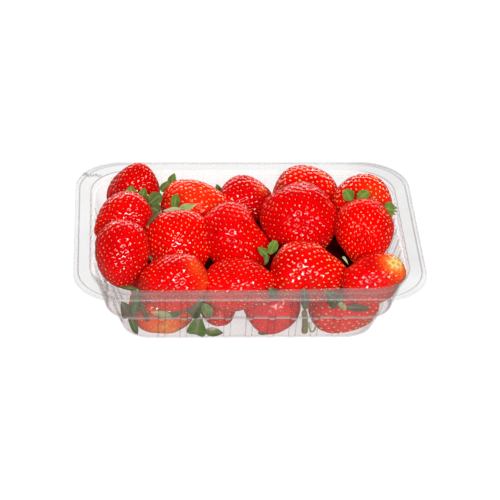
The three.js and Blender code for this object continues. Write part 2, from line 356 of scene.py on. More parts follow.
def read_attribute(tree, name):
    """A number that is written on the mesh, point by point."""
    node = tree.nodes.new("ShaderNodeAttribute")
    node.attribute_name = name
    return node.outputs["Fac"]


def mix_colours(tree, share, first, second, blend="MIX"):
    """A colour between two, each given as a socket or as red, green and blue."""
    node = tree.nodes.new("ShaderNodeMix")
    node.data_type = "RGBA"
    node.blend_type = blend
    for number, value in zip(MIX_SOCKETS, (share, first, second)):
        feed(tree, node.inputs[number], value)
    return node.outputs[MIX_RESULT]


def mix_shaders(tree, share, first, second):
    """A shader between two, by a share that changes over the surface."""
    node = tree.nodes.new("ShaderNodeMixShader")
    for socket, value in zip(node.inputs, (share, first, second)):
        tree.links.new(value, socket)
    return node.outputs[0]


def add_bump(tree, shaders, scale, distance, strength):
    """Fine grain of that scale as a bump on these shaders. The distance is in metres."""
    height = add_group(tree, grain, Scale=scale, Depth=1.0).outputs["Height"]
    bump = add_node(tree, "ShaderNodeBump", Strength=strength, Distance=distance, Height=height)
    for shader in shaders:
        tree.links.new(bump.outputs["Normal"], shader.inputs["Normal"])


# %% [markdown]
# ## The tray
#
# The real tray starts as a flat sheet that is warmed and drawn down into a mould, so it has one
# thickness everywhere and no sharp fold. It could be cut from a block, but then every fold
# would have to be bevelled afterwards. Instead we add a circle, lay it out as the rounded
# outline of the lip, and extrude that edge down the tray's profile, level by level: over the
# flange, down the step, down the ribbed wall, over the ledge and on to the foot. Filling the
# last edge makes the base, and Solidify gives the sheet its thickness.

# %% Tray dimensions
TRAY_LENGTH, TRAY_WIDTH, TRAY_HEIGHT = tray_high - tray_low
SHEET = 0.6
CORNER_INSETS = (0, 9.6, 12.3, 21.3)  # going in from the rim, the corners turn tighter
CORNER_RADII = (26, 22, 18, 12)
CORNER_STEPS = 30
LONG_SIDE_RIBS = (9, 11.7)  # how many, and how far apart
SHORT_SIDE_RIBS = (6, 10.8)
# The points across one rib and the share of its rise at each: a flat crest and sloped sides.
RIB_POINTS = (-2.1, -1.75, -1.4, -0.9, -0.4, 0.4, 0.9, 1.4, 1.75, 2.1)
RIB_SHARES = (0, 0, 0.3, 1, 1, 1, 1, 0.3, 0, 0)
RIB_SIDES = (0, 1, 0.1, 0, 0, 0, 0, 0.1, 1, 0)  # and how dark a line of painted shade it draws there
RIB_SHADES = (1.3, 1.6, 0.3, 0.2)  # at the tray's front, right, back and left
RIB_CLEARANCE = 0.3  # the last ribs end this far before the corners

# The sheet's upper face where it folds, from the lip to the base: how far in from the rim, how
# high, how far the ribs rise there, and the radius of the fold.
RIM = TRAY_HEIGHT
FLANGE_LOW = RIM - 1  # only the flange lies above this
STEP_TOP, STEP_TOP_HEIGHT = 9.1, RIM - 0.4
STEP_FOOT_HEIGHT = RIM - 3.2
FOLDS = (
    (0, RIM - 1.5, 0, 0),
    (0, RIM, 0, 0.6),
    (2.5, RIM, 0, 0.4),
    (2.8, RIM - 0.45, 0, 0.3),
    (STEP_TOP, STEP_TOP_HEIGHT, 0.2, 0.9),
    (9.6, STEP_FOOT_HEIGHT, 0.4, 0.8),
    (11.7, RIM - 3.4, 0.8, 0.7),
    (12.3, RIM - 6, 0.9, 0.5),
    (17.6, 20.6, 0.9, 2.6),
    (21.3, 19.6, 1.9, 0.6),
    (22.4, 15.6, 0.9, 0.5),
    (26.6, 3.0, 0.9, 3),
    (29.0, 0.6, 0.3, 1.5),
    (31.0, 0.6, 0, 0),
)
FOLD_STEP = math.radians(20)
LARGEST_ARC = 0.48  # an arc takes at most this share of the stretches beside it


# %% Round the folds of the profile
def rounded_profile(frost_and_highlight):
    """Points (inset, height, rib rise, foldedness), with each fold turned into an arc."""
    profile = [(*frost_and_highlight[0][:3], 0)]
    for before, fold, after in zip(frost_and_highlight, frost_and_highlight[1:], frost_and_highlight[2:]):
        corner = np.array(fold[:2])
        into = np.array(before[:2]) - corner
        out_of = np.array(after[:2]) - corner
        lengths = np.linalg.norm(into), np.linalg.norm(out_of)
        into, out_of = into / lengths[0], out_of / lengths[1]
        bend = math.pi - math.acos(np.clip(into @ out_of, -1, 1))
        reach = min(fold[3] * math.tan(bend / 2), LARGEST_ARC * min(lengths))
        steps = max(2, round(bend / FOLD_STEP))
        for share in np.linspace(0, 1, steps + 1):
            start, end = corner + into * reach, corner + out_of * reach
            point = (1 - share) ** 2 * start + 2 * share * (1 - share) * corner + share ** 2 * end
            foldedness = math.sin(math.pi * share) * min(1, bend)
            profile.append((*point, fold[2], foldedness))
    profile.append((*frost_and_highlight[-1][:3], 0))
    return profile


LONGEST_STRETCH = 2.2
FLANGE_STRETCH = 0.8


def with_middles(profile):
    """The same profile with the long straight stretches cut, those of the flange finer."""
    result = [profile[0]]
    for before, after in zip(profile, profile[1:]):
        longest = FLANGE_STRETCH if before[1] > FLANGE_LOW else LONGEST_STRETCH
        pieces = math.ceil(math.hypot(after[0] - before[0], after[1] - before[1]) / longest)
        for step in range(1, pieces + 1):
            result.append(tuple(np.array(before) + (np.array(after) - before) * step / pieces))
    return result


tray_profile = with_middles(rounded_profile(FOLDS))
print("tray profile has", len(tray_profile), "levels")


# %% Lay out one level of the tray
def side_points(ribs, half_run):
    """Places along one side, their rib share and their painted shade, kept off the corners."""
    count, pitch = ribs
    middles = (np.arange(count) - (count - 1) / 2) * pitch
    along = (middles[:, None] + np.array(RIB_POINTS)).ravel()
    squeeze = min(1, (half_run - RIB_CLEARANCE) / along.max())
    return along * squeeze, np.tile(RIB_SHARES, count), np.tile(RIB_SIDES, count)


def tray_level(inset, height, rib):
    """The points of one level, and how much painted shade each gets along the ribs' sides."""
    radius = np.interp(inset, CORNER_INSETS, CORNER_RADII)
    quarter = np.linspace(0, math.pi / 2, CORNER_STEPS + 1)
    points, painted_shades = [], []
    for side in range(4):
        is_long = side % 2 == 0
        half_run = (TRAY_LENGTH if is_long else TRAY_WIDTH) / 2 - inset - radius
        half_across = (TRAY_WIDTH if is_long else TRAY_LENGTH) / 2 - inset
        ribs = LONG_SIDE_RIBS if is_long else SHORT_SIDE_RIBS
        along, rise, painted_shade = side_points(ribs, half_run)
        along = np.append(along, half_run + radius * np.sin(quarter))
        out = np.append(half_across + rise * rib, half_across - radius + radius * np.cos(quarter))
        painted_shade = np.append(painted_shade, np.zeros_like(quarter))
        turn = side * math.pi / 2
        x = along * math.cos(turn) + out * math.sin(turn)
        y = along * math.sin(turn) - out * math.cos(turn)
        points.append(np.column_stack([x, y, np.full_like(x, height)]))
        painted_shades.append(painted_shade * rib * RIB_SHADES[side])
    points = np.concatenate(points)
    points[:, 2] += front_bow(points, inset)
    return points, np.concatenate(painted_shades)


# %% [markdown]
# ### The flange's own shape
#
# The weight of the berries has bowed the flange: its inner edge stands a little higher along
# the front, most at the two front corners. A knock has left a small kinked crease across it at
# the back left corner. Both could be sculpted afterwards, but a formula for each is easier to
# keep even, because the levels pass through it while they are laid out.

# %% The bowed front of the flange
BOW_PLACES = (-80, -62, 10, 50, 80)
BOW_HEIGHTS = (2.2, 0.5, 0.5, 1.7, 1.7)
FLAT_LIP = 2.8
FRONT_START, FRONT_FADE = 36, 14  # how far before the middle the front starts to count


def frontness(points):
    """1 for the points along the front, fading to 0 round the front corners."""
    return fade(-points[:, 1] - FRONT_START, FRONT_FADE)


def front_bow(points, inset):
    """How much higher each point of a level stands."""
    height = np.interp(points[:, 0], BOW_PLACES, BOW_HEIGHTS)
    across = fade(inset - FLAT_LIP, STEP_TOP - FLAT_LIP)
    above = fade(points[:, 2] - STEP_FOOT_HEIGHT, STEP_TOP_HEIGHT - STEP_FOOT_HEIGHT)
    return height * frontness(points) * across * above


# %% The crease in one corner of the flange
CREASE = ((-93, 58.5), (-89.4, 57.6), (-86.8, 54.0), (-84.0, 54.6), (-81.5, 55.3), (-79.3, 53.5))
CREASE_REACH = 0.9
CREASE_DEPTH = 0.6
CREASE_PAINTED_SHADE = 2.5
CREASE_FLOOR = RIM - 3


def crease_distance(points):
    """How far each point lies from the crease, seen from above, and on which side of it."""
    nearest = np.full(len(points), np.inf)
    side = np.ones(len(points))
    for start, end in zip(CREASE, CREASE[1:]):
        start, run = np.array(start), np.array(end) - start
        share = np.clip((points[:, :2] - start) @ run / (run @ run), 0, 1)
        offset = points[:, :2] - start - share[:, None] * run
        distance = np.hypot(*offset.T)
        closer = distance < nearest
        nearest[closer] = distance[closer]
        side[closer] = np.sign(run[0] * offset[:, 1] - run[1] * offset[:, 0])[closer]
    return nearest, side


def crease_flange(points, painted_shades):
    """Kinks the flange at the crease, and paints a dark line of shade along it."""
    distance, side = crease_distance(points)
    hit = np.clip(1 - distance / CREASE_REACH, 0, 1) * (points[:, 2] > CREASE_FLOOR)
    points[:, 2] += CREASE_DEPTH * hit * side
    return points, np.maximum(painted_shades, hit * CREASE_PAINTED_SHADE)


# %% Clearer and greyer places of the sheet
LEDGE_LOW, LEDGE_HIGH = 17.5, 21.5
LEDGE_HIGHLIGHT = 2.4  # painted highlight: the ledge's folds are whiter than the others
STEP_LOW, STEP_HIGH = 38, 44.2
STEP_FROST_AND_HIGHLIGHT = 0.3  # and those of the step at the front clearer
ENDS_START, ENDS_FADE = 60, 15  # where the tray's two ends start, from its middle
ENDS_CLEARER = 0.7
LIP_INSET = 2  # the lip's own folds draw no line
LINE_SHADE = 1.4  # painted shade: fine dark lines along the flange's folds at both ends
FRONT_END, FRONT_END_FADE = 80, 20  # where the front's painted lighter grey ends
FRONT_PAINTED_LIGHT = 0.7
RIGHT_START, RIGHT_FADE = 50, 20
RIGHT_SHADE = 0.22  # painted shade: the right end of the tray is a little greyer


def sheet_looks(level, points, painted_shades):
    """Each point's fold whitening, painted shade and share of the flange, for one level."""
    inset, height, _, fold = level
    front = frontness(points)
    along_front = front * fade(FRONT_END - np.abs(points[:, 0]), FRONT_END_FADE)
    right_end = fade(points[:, 0] - RIGHT_START, RIGHT_FADE)
    if LEDGE_LOW < height < LEDGE_HIGH:
        frost_and_highlight = np.full(len(points), fold * LEDGE_HIGHLIGHT)
    elif STEP_LOW < height < STEP_HIGH:
        frost_and_highlight = fold * (1 - front * (1 - STEP_FROST_AND_HIGHLIGHT))
    else:
        both_ends = fade(np.abs(points[:, 0]) - ENDS_START, ENDS_FADE) * (1 - along_front)
        if inset > LIP_INSET and height > FLANGE_LOW:
            painted_shades = np.maximum(painted_shades, LINE_SHADE * fold * both_ends)
        frost_and_highlight = fold * (1 - ENDS_CLEARER * both_ends)
    painted_shades = np.maximum(painted_shades, RIGHT_SHADE * right_end * (1 - front))
    flange = (inset < STEP_TOP) * (1 - FRONT_PAINTED_LIGHT * along_front)
    return {"fold": frost_and_highlight, "painted_shade": painted_shades, "flange": flange}


def place_ring(sheet, ring, level):
    """Moves a ring of points to a level of the profile, and writes its looks."""
    points, painted_shades = crease_flange(*tray_level(*level[:3]))
    for i, vertex in enumerate(ring):
        vertex.co = points[i] * MM
    for name, values in sheet_looks(level, points, painted_shades).items():
        layer = sheet.verts.layers.float[name]
        for i, vertex in enumerate(ring):
            vertex[layer] = values[i]


# %% Extrude the sheet level by level
BASE_PANEL_INSET = 9 * MM

first_points, _ = tray_level(*tray_profile[0][:3])
bpy.ops.mesh.primitive_circle_add(vertices=len(first_points), radius=TRAY_LENGTH / 2 * MM)
tray = named("clear_tray")
bpy.ops.object.mode_set(mode="EDIT")
sheet = bmesh.from_edit_mesh(tray.data)
for name in ("fold", "painted_shade", "flange"):
    sheet.verts.layers.float.new(name)
sheet.verts.ensure_lookup_table()
place_ring(sheet, sorted(sheet.verts, key=lambda vertex: vertex.index), tray_profile[0])
bpy.ops.mesh.select_all(action="SELECT")
ring_of = {tuple(vertex.co): i for i, vertex in enumerate(sheet.verts)}
for level in tray_profile[1:]:
    bpy.ops.mesh.extrude_edges_move()
    sheet = bmesh.from_edit_mesh(tray.data)
    fresh = [vertex for vertex in sheet.verts if vertex.select]
    fresh.sort(key=lambda vertex: ring_of[tuple(vertex.co)])
    place_ring(sheet, fresh, level)
    ring_of = {tuple(vertex.co): i for i, vertex in enumerate(fresh)}
bpy.ops.mesh.edge_face_add()
bpy.ops.mesh.inset(thickness=BASE_PANEL_INSET)
bpy.ops.mesh.select_all(action="SELECT")
bpy.ops.mesh.normals_make_consistent(inside=False)
bpy.ops.object.mode_set(mode="OBJECT")
print("tray sheet has", len(tray.data.polygons), "faces")

# %% Face the sheet upwards and give it its thickness
base_face = max(tray.data.polygons, key=lambda face: face.area)
if base_face.normal.z < 0:
    tray.data.flip_normals()
apply_modifier(tray, "SOLIDIFY", thickness=SHEET * MM, offset=-1, use_even_offset=True)
smooth(tray)
print("tray is", round(points_of(tray.data)[:, 2].min(), 2), "mm above the floor at its lowest")

# %% [markdown]
# ## Clear plastic
#
# Clear packaging is never quite invisible. Each face of the sheet holds back a little of the
# light behind it, shows a little grey of its own, more where it is folded or seen at a slant,
# and mirrors the lamps. Some light and shade is painted into that grey: the folds' whiteness is
# partly a painted highlight, the rib feet, the crease and the flange's folds carry painted dark
# lines, the right end carries painted shade, and the wall is a lighter grey than the lit
# flange. A glass shader would do, but so many thin layers come out dark and noisy. So the
# material mixes three things: a see-through shader, a milky grey one, and a gloss. The gloss
# takes about a hundredth of the light seen square on and a few hundredths along the surface.
# Powers of Facing say so, the same from both sides of the sheet, where a Fresnel node would
# turn the far side into a mirror.

# %% Clear plastic
LEAST_MIRROR = 0.014  # share of light that the sheet mirrors when seen square on
GLANCING_MIRROR, GLANCING_POWER = 0.04, 5  # what it mirrors besides along the surface
SLANT_HAZE, SLANT_POWER = 0.12, 4  # how much milkier it looks at a slant
FOLD_HAZE = 0.2  # and in a fold or on the side of a rib
FLANGE_HAZE = -0.008  # the flange is a little clearer than the wall
# Painted light: the sheet is a lighter grey on the wall and the flange's front than on the lit
# flange.
WALL_GREY = (0.68, 0.62, 0.58)
FLANGE_GREY = (0.15, 0.145, 0.145)
# Folds are whitened partly as the drawn sheet's own whitening, partly as a painted highlight.
FOLD_WHITE = (0.8, 0.78, 0.76)
RIB_SHADOW = (0.14, 0.09, 0.07)

plastic, tree, haze = new_material(
    "clear_plastic", Roughness=0.5, IOR=1.45, Specular_IOR_Level=0.1,
)
clear = add_node(tree, "ShaderNodeBsdfTransparent", Color=(0.985, 0.985, 0.985))
gloss = add_node(tree, "ShaderNodeBsdfGlossy", Roughness=0.15, Color=(0.92, 0.93, 0.94))
facing = add_node(tree, "ShaderNodeLayerWeight", Blend=0.5).outputs["Facing"]
smears = add_group(tree, mottle, Scale=45, Low=0.07, High=0.1)
fold, painted_shade_share = read_attribute(tree, "fold"), read_attribute(tree, "painted_shade")
flange = read_attribute(tree, "flange")
grey = mix_colours(tree, flange, WALL_GREY, FLANGE_GREY)
grey = mix_colours(tree, fold, grey, FOLD_WHITE)
grey = mix_colours(tree, painted_shade_share, grey, RIB_SHADOW)
tree.links.new(grey, haze.inputs["Base Color"])
folded = math_node(tree, "MULTIPLY", math_node(tree, "ADD", fold, painted_shade_share), FOLD_HAZE)
folded = math_node(tree, "ADD", folded, math_node(tree, "MULTIPLY", flange, FLANGE_HAZE))
milkiness = math_node(tree, "ADD", smears.outputs["Mask"], folded)
slant = math_node(tree, "POWER", facing, SLANT_POWER)
slant = math_node(tree, "MULTIPLY", slant, SLANT_HAZE)
veil = math_node(tree, "ADD", milkiness, slant, clamp=True)
glancing = math_node(tree, "POWER", facing, GLANCING_POWER)
glancing = math_node(tree, "MULTIPLY", glancing, GLANCING_MIRROR)
mirror = math_node(tree, "ADD", glancing, LEAST_MIRROR)
body = mix_shaders(tree, veil, clear.outputs[0], haze.outputs[0])
shine = mix_shaders(tree, mirror, body, gloss.outputs[0])
tree.links.new(shine, tree.nodes["Material Output"].inputs["Surface"])
add_bump(tree, [haze, gloss], scale=60, distance=0.0004, strength=0.08)
tray.data.materials.append(plastic)
print("a face of the wall is", round(LEAST_MIRROR * 100, 1), "% mirror seen square on")
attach(tray, "root")
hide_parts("tray")

# %% [markdown]
# ## The berries
#
# A strawberry is a swollen stalk end that carries its seeds outside, each in its own pit. It
# could be spun from an outline, but a spun body is the same all round. So we start every berry
# from a sphere, stretch it to a half outline that runs from a narrow tip to a broad shoulder,
# knead it a little so that no two are alike, and then press one pit for every seed. The seeds
# sit on a spiral, as they do on the plant: each next one is turned by the golden angle.

# %% The berries in their places
def plan_berry(at, length, width, taper, turn, rise, warmth, **ways):
    """A berry, in the usual way where nothing else is said.

    at is its middle. taper is how much narrower the tip is than the shoulder. turn and rise
    are where the tip points, in degrees, from +X towards the back and up from level. warmth
    goes from crimson (0) to orange red (1), spacing is from seed to seed, and gold goes from
    reddish seeds (0) to pale ones (1). wetness is how strongly the skin mirrors the lamps.
    dents are pushes in (minus) or out along a direction, with their reach in degrees. unripe
    lists pale places with their reach and strength, and marks small dark spots with theirs.
    """
    usual = dict(depth=width, spacing=3.3, seed_size=0.88, gold=0.4, wetness=0.9)
    usual.update(unripe=(), dents=(), marks=(), at=at, length=length, width=width, taper=taper)
    return dict(usual, turn=turn, rise=rise, warmth=warmth, **ways)


UPPER_LAYER = (
    plan_berry((-60.4, 42, 41.4), 34, 29.6, 0.28, 20, 72, 0.1, wetness=0.7, spacing=3.4),
    plan_berry((-68, 5, 46), 33, 30, 0.4, 208, -12, 0.3),
    plan_berry(
        (-26.4, 24, 41), 41, 31, 0.15, -15, -8, 0.9,
        spacing=3.1, seed_size=1.2, gold=0.85, unripe=(((-0.1, -0.3, 0.95), 90, 0.12),),
    ),
    plan_berry((-67.6, -24.6, 44.2), 36.3, 30, 0.2, -97, -40, 0.05, spacing=3.6, seed_size=0.9),
    plan_berry(
        (-38.2, -10, 40), 38, 37, 0.25, -88, -35, 0.55,
        spacing=3.1, seed_size=1.05, gold=0.6, dents=(((0.75, -0.5, -0.3), 2, 35),),
    ),
    plan_berry(
        (-7, -7, 41), 42, 35, 0.2, -48, -38, 0.3,
        wetness=0.6, spacing=3.5, seed_size=0.9, marks=(((-0.54, -0.54, 0.64), 4),),
        dents=(((0.7, 0.36, 0.6), -3, 45), ((0.95, -0.2, -0.2), 3.2, 42)),
    ),
    plan_berry(
        (1.2, 34.6, 36.6), 33, 33.5, 0.15, -30, 5, 0.1,
        unripe=(((0.59, -0.12, 0.8), 15, 0.35),),
    ),
    plan_berry(
        (35.6, 38.6, 39.5), 38.5, 33.5, 0.15, -20, -5, 0.5,
        spacing=3.5, seed_size=1.35, gold=1.0, dents=(((0.75, 0.3, 0.55), 1.2, 45),),
    ),
    plan_berry(
        (30.4, 5, 47), 39, 44, 0.1, -72, -34, 0.15,
        depth=37, spacing=3.5, seed_size=0.9, gold=0.45, wetness=0.5,
        dents=(((0.75, 0.32, 0.5), -3, 40),
               ((-0.2, -0.75, 0.65), 1.2, 22), ((-0.9, -0.3, -0.25), 1.4, 40)),
    ),
    plan_berry(
        (65.9, 19, 44.9), 35, 33, 0.2, -60, -20, 0.6,
        spacing=3.2, seed_size=1.35, gold=0.95, unripe=(((0.31, -0.43, 0.85), 45, 0.12),),
    ),
    plan_berry(
        (63, -10, 48.3), 36, 32, 0.2, -100, -50, 0.45,
        wetness=0.3, spacing=3.1, seed_size=1.05, gold=0.55,
        dents=(((0.62, 0.1, 0.78), -1.6, 35),),
    ),
    plan_berry(
        (-41, -42, 38), 37, 30, 0.15, 172, -8, 0.35,
        spacing=3.4, unripe=(((0.72, -0.18, 0.67), 24, 0.35), ((0.95, -0.2, 0.1), 32, 0.3)),
    ),
    plan_berry(
        (-6.3, -40, 34.6), 39.4, 28, 0.15, -8, 2, 0.4,
        gold=0.6, dents=(((0.6, 0.45, 0.66), 1.5, 40), ((-0.75, 0.15, 0.65), -2.5, 40)),
    ),
    plan_berry(
        (31.8, -33, 38), 41, 34, 0.25, -8, -3, 0.35,
        spacing=3.6, seed_size=1.2, gold=0.85, dents=(((0.7, 0.35, 0.6), -1, 35),),
    ),
    plan_berry(
        (65.4, -41.5, 39.7), 35, 27, 0.12, 8, 22, 0.35,
        spacing=3.4, dents=(((-0.7, 0.4, 0.6), -1.5, 40),),
        unripe=(((0.67, -0.16, 0.73), 31, 1.25), ((0.85, -0.15, 0.45), 42, 0.5)),
    ),
)
FRONT_LAYER = (
    plan_berry(
        (-46.8, -31, 13.8), 36.5, 28.5, 0.02, 170, -5, 1.0,
        gold=0.8, unripe=(((0.2, -0.9, -0.4), 80, 0.68),),
    ),
    plan_berry((-16.5, -29, 13.5), 28, 21, 0.3, -80, -15, 0.3),
    plan_berry((13.5, -30, 15), 31, 30, 0.15, 80, 5, 0.3, seed_size=0.8, gold=0.2),
    plan_berry(
        (51.5, -32.5, 15), 39, 28.5, 0.2, -8, -5, 0.4,
        spacing=4, seed_size=1.3, gold=1.0,
    ),
)
HIDDEN_LAYER = (
    plan_berry((-52, 2, 16), 31, 26, 0.25, 30, 0, 0.3),
    plan_berry((-20, 2, 16), 32, 27, 0.3, -60, 0, 0.5),
    plan_berry((14, 5, 16), 32, 28, 0.2, 160, 0, 0.2),
    plan_berry((49, 0, 16), 32, 27, 0.3, 175, 0, 0.4),
    plan_berry((-48, 30, 15), 31, 26, 0.2, -20, 0, 0.6),
    plan_berry((-15, 32, 15), 32, 26, 0.3, 190, 0, 0.3),
    plan_berry((21, 32, 16), 32, 27, 0.2, 10, 0, 0.5),
    plan_berry((52, 30, 17), 31, 26, 0.3, 120, 5, 0.2),
)
ALL_BERRIES = UPPER_LAYER + FRONT_LAYER + HIDDEN_LAYER
print(len(ALL_BERRIES), "berries")


# %% A berry's own axes and outline
BLUNTNESS = 0.9


def berry_axes(berry):
    """Side, third and cap directions of a berry, as the rows of a matrix."""
    turn, rise = math.radians(berry["turn"]), math.radians(berry["rise"])
    level = math.cos(rise)
    cap = -np.array([level * math.cos(turn), level * math.sin(turn), math.sin(rise)])
    side = np.array([-math.sin(turn), math.cos(turn), 0])
    return np.array([side, np.cross(cap, side), cap])


def outline_at(share, taper):
    """A berry's half width at a share of the way from tip (0) to cap (1), at most about 1."""
    widening = (1 - taper * np.cos(share * math.pi)) / (1 + taper ** 2 / 2)
    return np.sin(share * math.pi) ** BLUNTNESS * widening


def is_inside(points, berry, scale):
    """Which points lie in the berry when it is scaled about its middle."""
    local = (points - np.array(berry["at"])) @ berry_axes(berry).T
    height = np.clip(-2 * local[:, 2] / berry["length"] / scale, -1, 1)
    reach = outline_at(np.arccos(height) / math.pi, berry["taper"]) * scale
    across = np.hypot(2 * local[:, 0] / berry["width"], 2 * local[:, 1] / berry["depth"])
    return (across < reach) & (np.abs(2 * local[:, 2] / berry["length"]) < scale)


# %% The room inside the tray
WALL_GAP = 0.5  # the berries stay this far off the sheet
WALL_HEIGHTS, WALL_INSETS = zip(*[(fold[1], fold[0]) for fold in reversed(FOLDS[5:])])
BASE_HEIGHT = FOLDS[-1][1]


def press_to_tray(points):
    """Flattens what would stand out through the tray's wall or base."""
    inset = np.interp(points[:, 2], WALL_HEIGHTS, WALL_INSETS) + WALL_GAP
    radius = np.interp(inset, CORNER_INSETS, CORNER_RADII)
    half = np.column_stack([TRAY_LENGTH / 2 - inset, TRAY_WIDTH / 2 - inset])
    level = points[:, :2]
    past = np.maximum(np.abs(level) - (half - radius[:, None]), 0)
    distance = np.hypot(*past.T)
    shrink = np.minimum(1, radius / np.maximum(distance, 0.001))
    straight = np.minimum(np.abs(level), half - radius[:, None])
    pressed = np.sign(level) * (straight + past * shrink[:, None])
    in_tray = points[:, 2] < RIM
    points[in_tray, :2] = pressed[in_tray]
    points[:, 2] = np.maximum(points[:, 2], BASE_HEIGHT + WALL_GAP)
    return points


# %% Stretch and knead a sphere into a berry
KNEAD_WAVES = 7
KNEAD_TIGHTNESS = 2.6
KNEAD_DEPTH = 0.45
KNEAD_EVENING = 1.4  # brings the sum of many waves back to the depth of one


def kneading(directions, random):
    """Soft random swells over the sphere, in millimetres."""
    swells = np.zeros(len(directions))
    for _ in range(KNEAD_WAVES):
        wave = random.normal(size=3) * KNEAD_TIGHTNESS
        swells += np.sin(directions @ wave + random.uniform(0, 2 * math.pi))
    return KNEAD_DEPTH * swells / math.sqrt(KNEAD_WAVES) * KNEAD_EVENING


def bell(angle_cosine, reach):
    """1 in the given direction, fading to 0 at about the reach, which is in degrees."""
    angle = np.degrees(np.arccos(np.clip(angle_cosine, -1, 1)))
    return np.exp(-(angle / reach) ** 2 * 2)


def shape_berry(berry, directions, random):
    """The berry's smooth skin, before any pits."""
    share = np.arccos(np.clip(-directions[:, 2], -1, 1)) / math.pi
    around = np.arctan2(directions[:, 1], directions[:, 0])
    width = outline_at(share, berry["taper"])
    local = np.column_stack([
        berry["width"] / 2 * width * np.cos(around),
        berry["depth"] / 2 * width * np.sin(around),
        -berry["length"] / 2 * np.cos(share * math.pi),
    ])
    local += directions * kneading(directions, random)[:, None]
    placed = local @ berry_axes(berry)
    outwards = placed / np.linalg.norm(placed, axis=1)[:, None]
    for direction, depth, reach in berry["dents"]:
        placed += outwards * (depth * bell(outwards @ unit(direction), reach))[:, None]
    return press_to_tray(placed + np.array(berry["at"])), outwards


# %% A golden spiral of seeds
GOLDEN_ANGLE = math.pi * (3 - math.sqrt(5))
SPIRAL_JITTER = 0.02
SEED_CROWDING = 1.15  # the spiral's seeds sit a little closer than a square grid's would
SKIN_POWER = 1.6  # for the area of an egg with three unlike half axes


def spiral(count, random):
    """Directions spread evenly over a sphere, turning by the golden angle, slightly shaken."""
    step = (np.arange(count) + 0.5) / count
    height = 1 - 2 * step
    around = np.arange(count) * GOLDEN_ANGLE
    level = np.sqrt(1 - height ** 2)
    ideal = np.column_stack([level * np.cos(around), level * np.sin(around), height])
    shaken = ideal + random.normal(scale=SPIRAL_JITTER, size=ideal.shape)
    return shaken / np.linalg.norm(shaken, axis=1)[:, None]


def seed_count(berry):
    """How many seeds the skin holds, from its area and their spacing."""
    a, b, c = berry["length"] / 2, berry["width"] / 2, berry["depth"] / 2
    mean = ((a * b) ** SKIN_POWER + (a * c) ** SKIN_POWER + (b * c) ** SKIN_POWER) / 3
    area = 4 * math.pi * mean ** (1 / SKIN_POWER)
    return round(area / berry["spacing"] ** 2 * SEED_CROWDING)


# %% A pit for each seed
PIT_DEPTH = 0.52
PIT_SHARE = 0.52  # a pit's radius as a share of the way to the next seed


def press_pits(points, normals, seed_points, radius):
    """The skin with its pits pressed in, and how deep each point lies in a pit (0 to 1)."""
    tree = KDTree(len(seed_points))
    for i, point in enumerate(seed_points):
        tree.insert(point, i)
    tree.balance()
    distance = np.array([tree.find(point)[2] for point in points])
    pit = (1 - np.clip(distance / radius, 0, 1) ** 2) ** 2
    return points - normals * (PIT_DEPTH * pit)[:, None], pit


# %% Make one berry
FINEST, FINE, COARSE = 7, 6, 5
KEPT_SHARE = 0.46  # of the faces of the finest berries
MARK_DARKNESS = 2  # how much darker than a pit a mark is
seed_places = []


def make_berry(name, berry, subdivisions, random):
    """Models one berry, and notes where its seeds go."""
    bpy.ops.mesh.primitive_ico_sphere_add(subdivisions=subdivisions, radius=1)
    piece = named(name)
    directions = points_of(piece.data) * MM
    directions /= np.linalg.norm(directions, axis=1)[:, None]
    points, outwards = shape_berry(berry, directions, random)
    write_points(piece.data, points)
    normals = np.empty(len(points) * 3, np.float32)
    piece.data.vertices.foreach_get("normal", normals)
    normals = normals.reshape(-1, 3)
    seeds = spiral(seed_count(berry), random)
    nearest = np.unique(np.argmax(seeds @ directions.T, axis=1))
    pitted, pit = press_pits(points, normals, points[nearest], PIT_SHARE * berry["spacing"])
    write_points(piece.data, pitted)
    for direction, reach in berry["marks"]:
        pit = np.maximum(pit, MARK_DARKNESS * bell(outwards @ unit(direction), reach))
    unripe = np.zeros(len(points))
    for direction, reach, strength in berry["unripe"]:
        unripe = np.maximum(unripe, strength * bell(outwards @ unit(direction), reach))
    write_attribute(piece.data, "pit", pit)
    write_attribute(piece.data, "unripe", unripe)
    for look in ("warmth", "wetness"):
        write_attribute(piece.data, look, np.full(len(points), berry[look]))
    cap = berry_axes(berry)[2]
    for i in nearest:
        seed_places.append((pitted[i], normals[i], cap, berry["seed_size"], name, berry["gold"]))
    if subdivisions == FINEST:
        apply_modifier(piece, "DECIMATE", ratio=KEPT_SHARE)
    smooth(piece)
    return piece


# %% Make the berries, layer by layer
def make_layer(name, berries, subdivisions, first_draw):
    """Makes the berries of a layer, each with random draws of its own."""
    return [
        make_berry(f"{name}_{i}", berry, subdivisions, np.random.default_rng(first_draw + i))
        for i, berry in enumerate(berries)
    ]


upper = make_layer("upper", UPPER_LAYER, FINEST, first_draw=100)
front = make_layer("front", FRONT_LAYER, FINE, first_draw=200)
hidden = make_layer("hidden", HIDDEN_LAYER, COARSE, first_draw=300)
print("seeds placed:", len(seed_places))

# %% [markdown]
# ## Berry skin
#
# Ripe skin is a deep, clean red with a wet gloss. Its colour is painted darker in the pits, as
# shade there, and it fades through orange to straw where the sun did not reach. One plain red
# would look like plastic, so the colour is mixed from numbers that were written on each berry,
# broken up by mottle. A coat over the skin makes it wet, more on some berries than on others.

# %% Berry skin
CRIMSON = (0.64, 0.0003, 0.004)
SCARLET = (0.88, 0.002, 0.001)
ORANGE = (0.85, 0.16, 0.025)
STRAW = (0.76, 0.56, 0.18)
PIT_SHADE = (0.6, 0.3, 0.35)
PIT_SHADE_SHARE = 0.7
ORANGE_GAIN = 1.8  # how fast unripe skin turns orange
STRAW_START, STRAW_GAIN = 0.55, 2.2  # and from where, and how fast, orange turns to straw

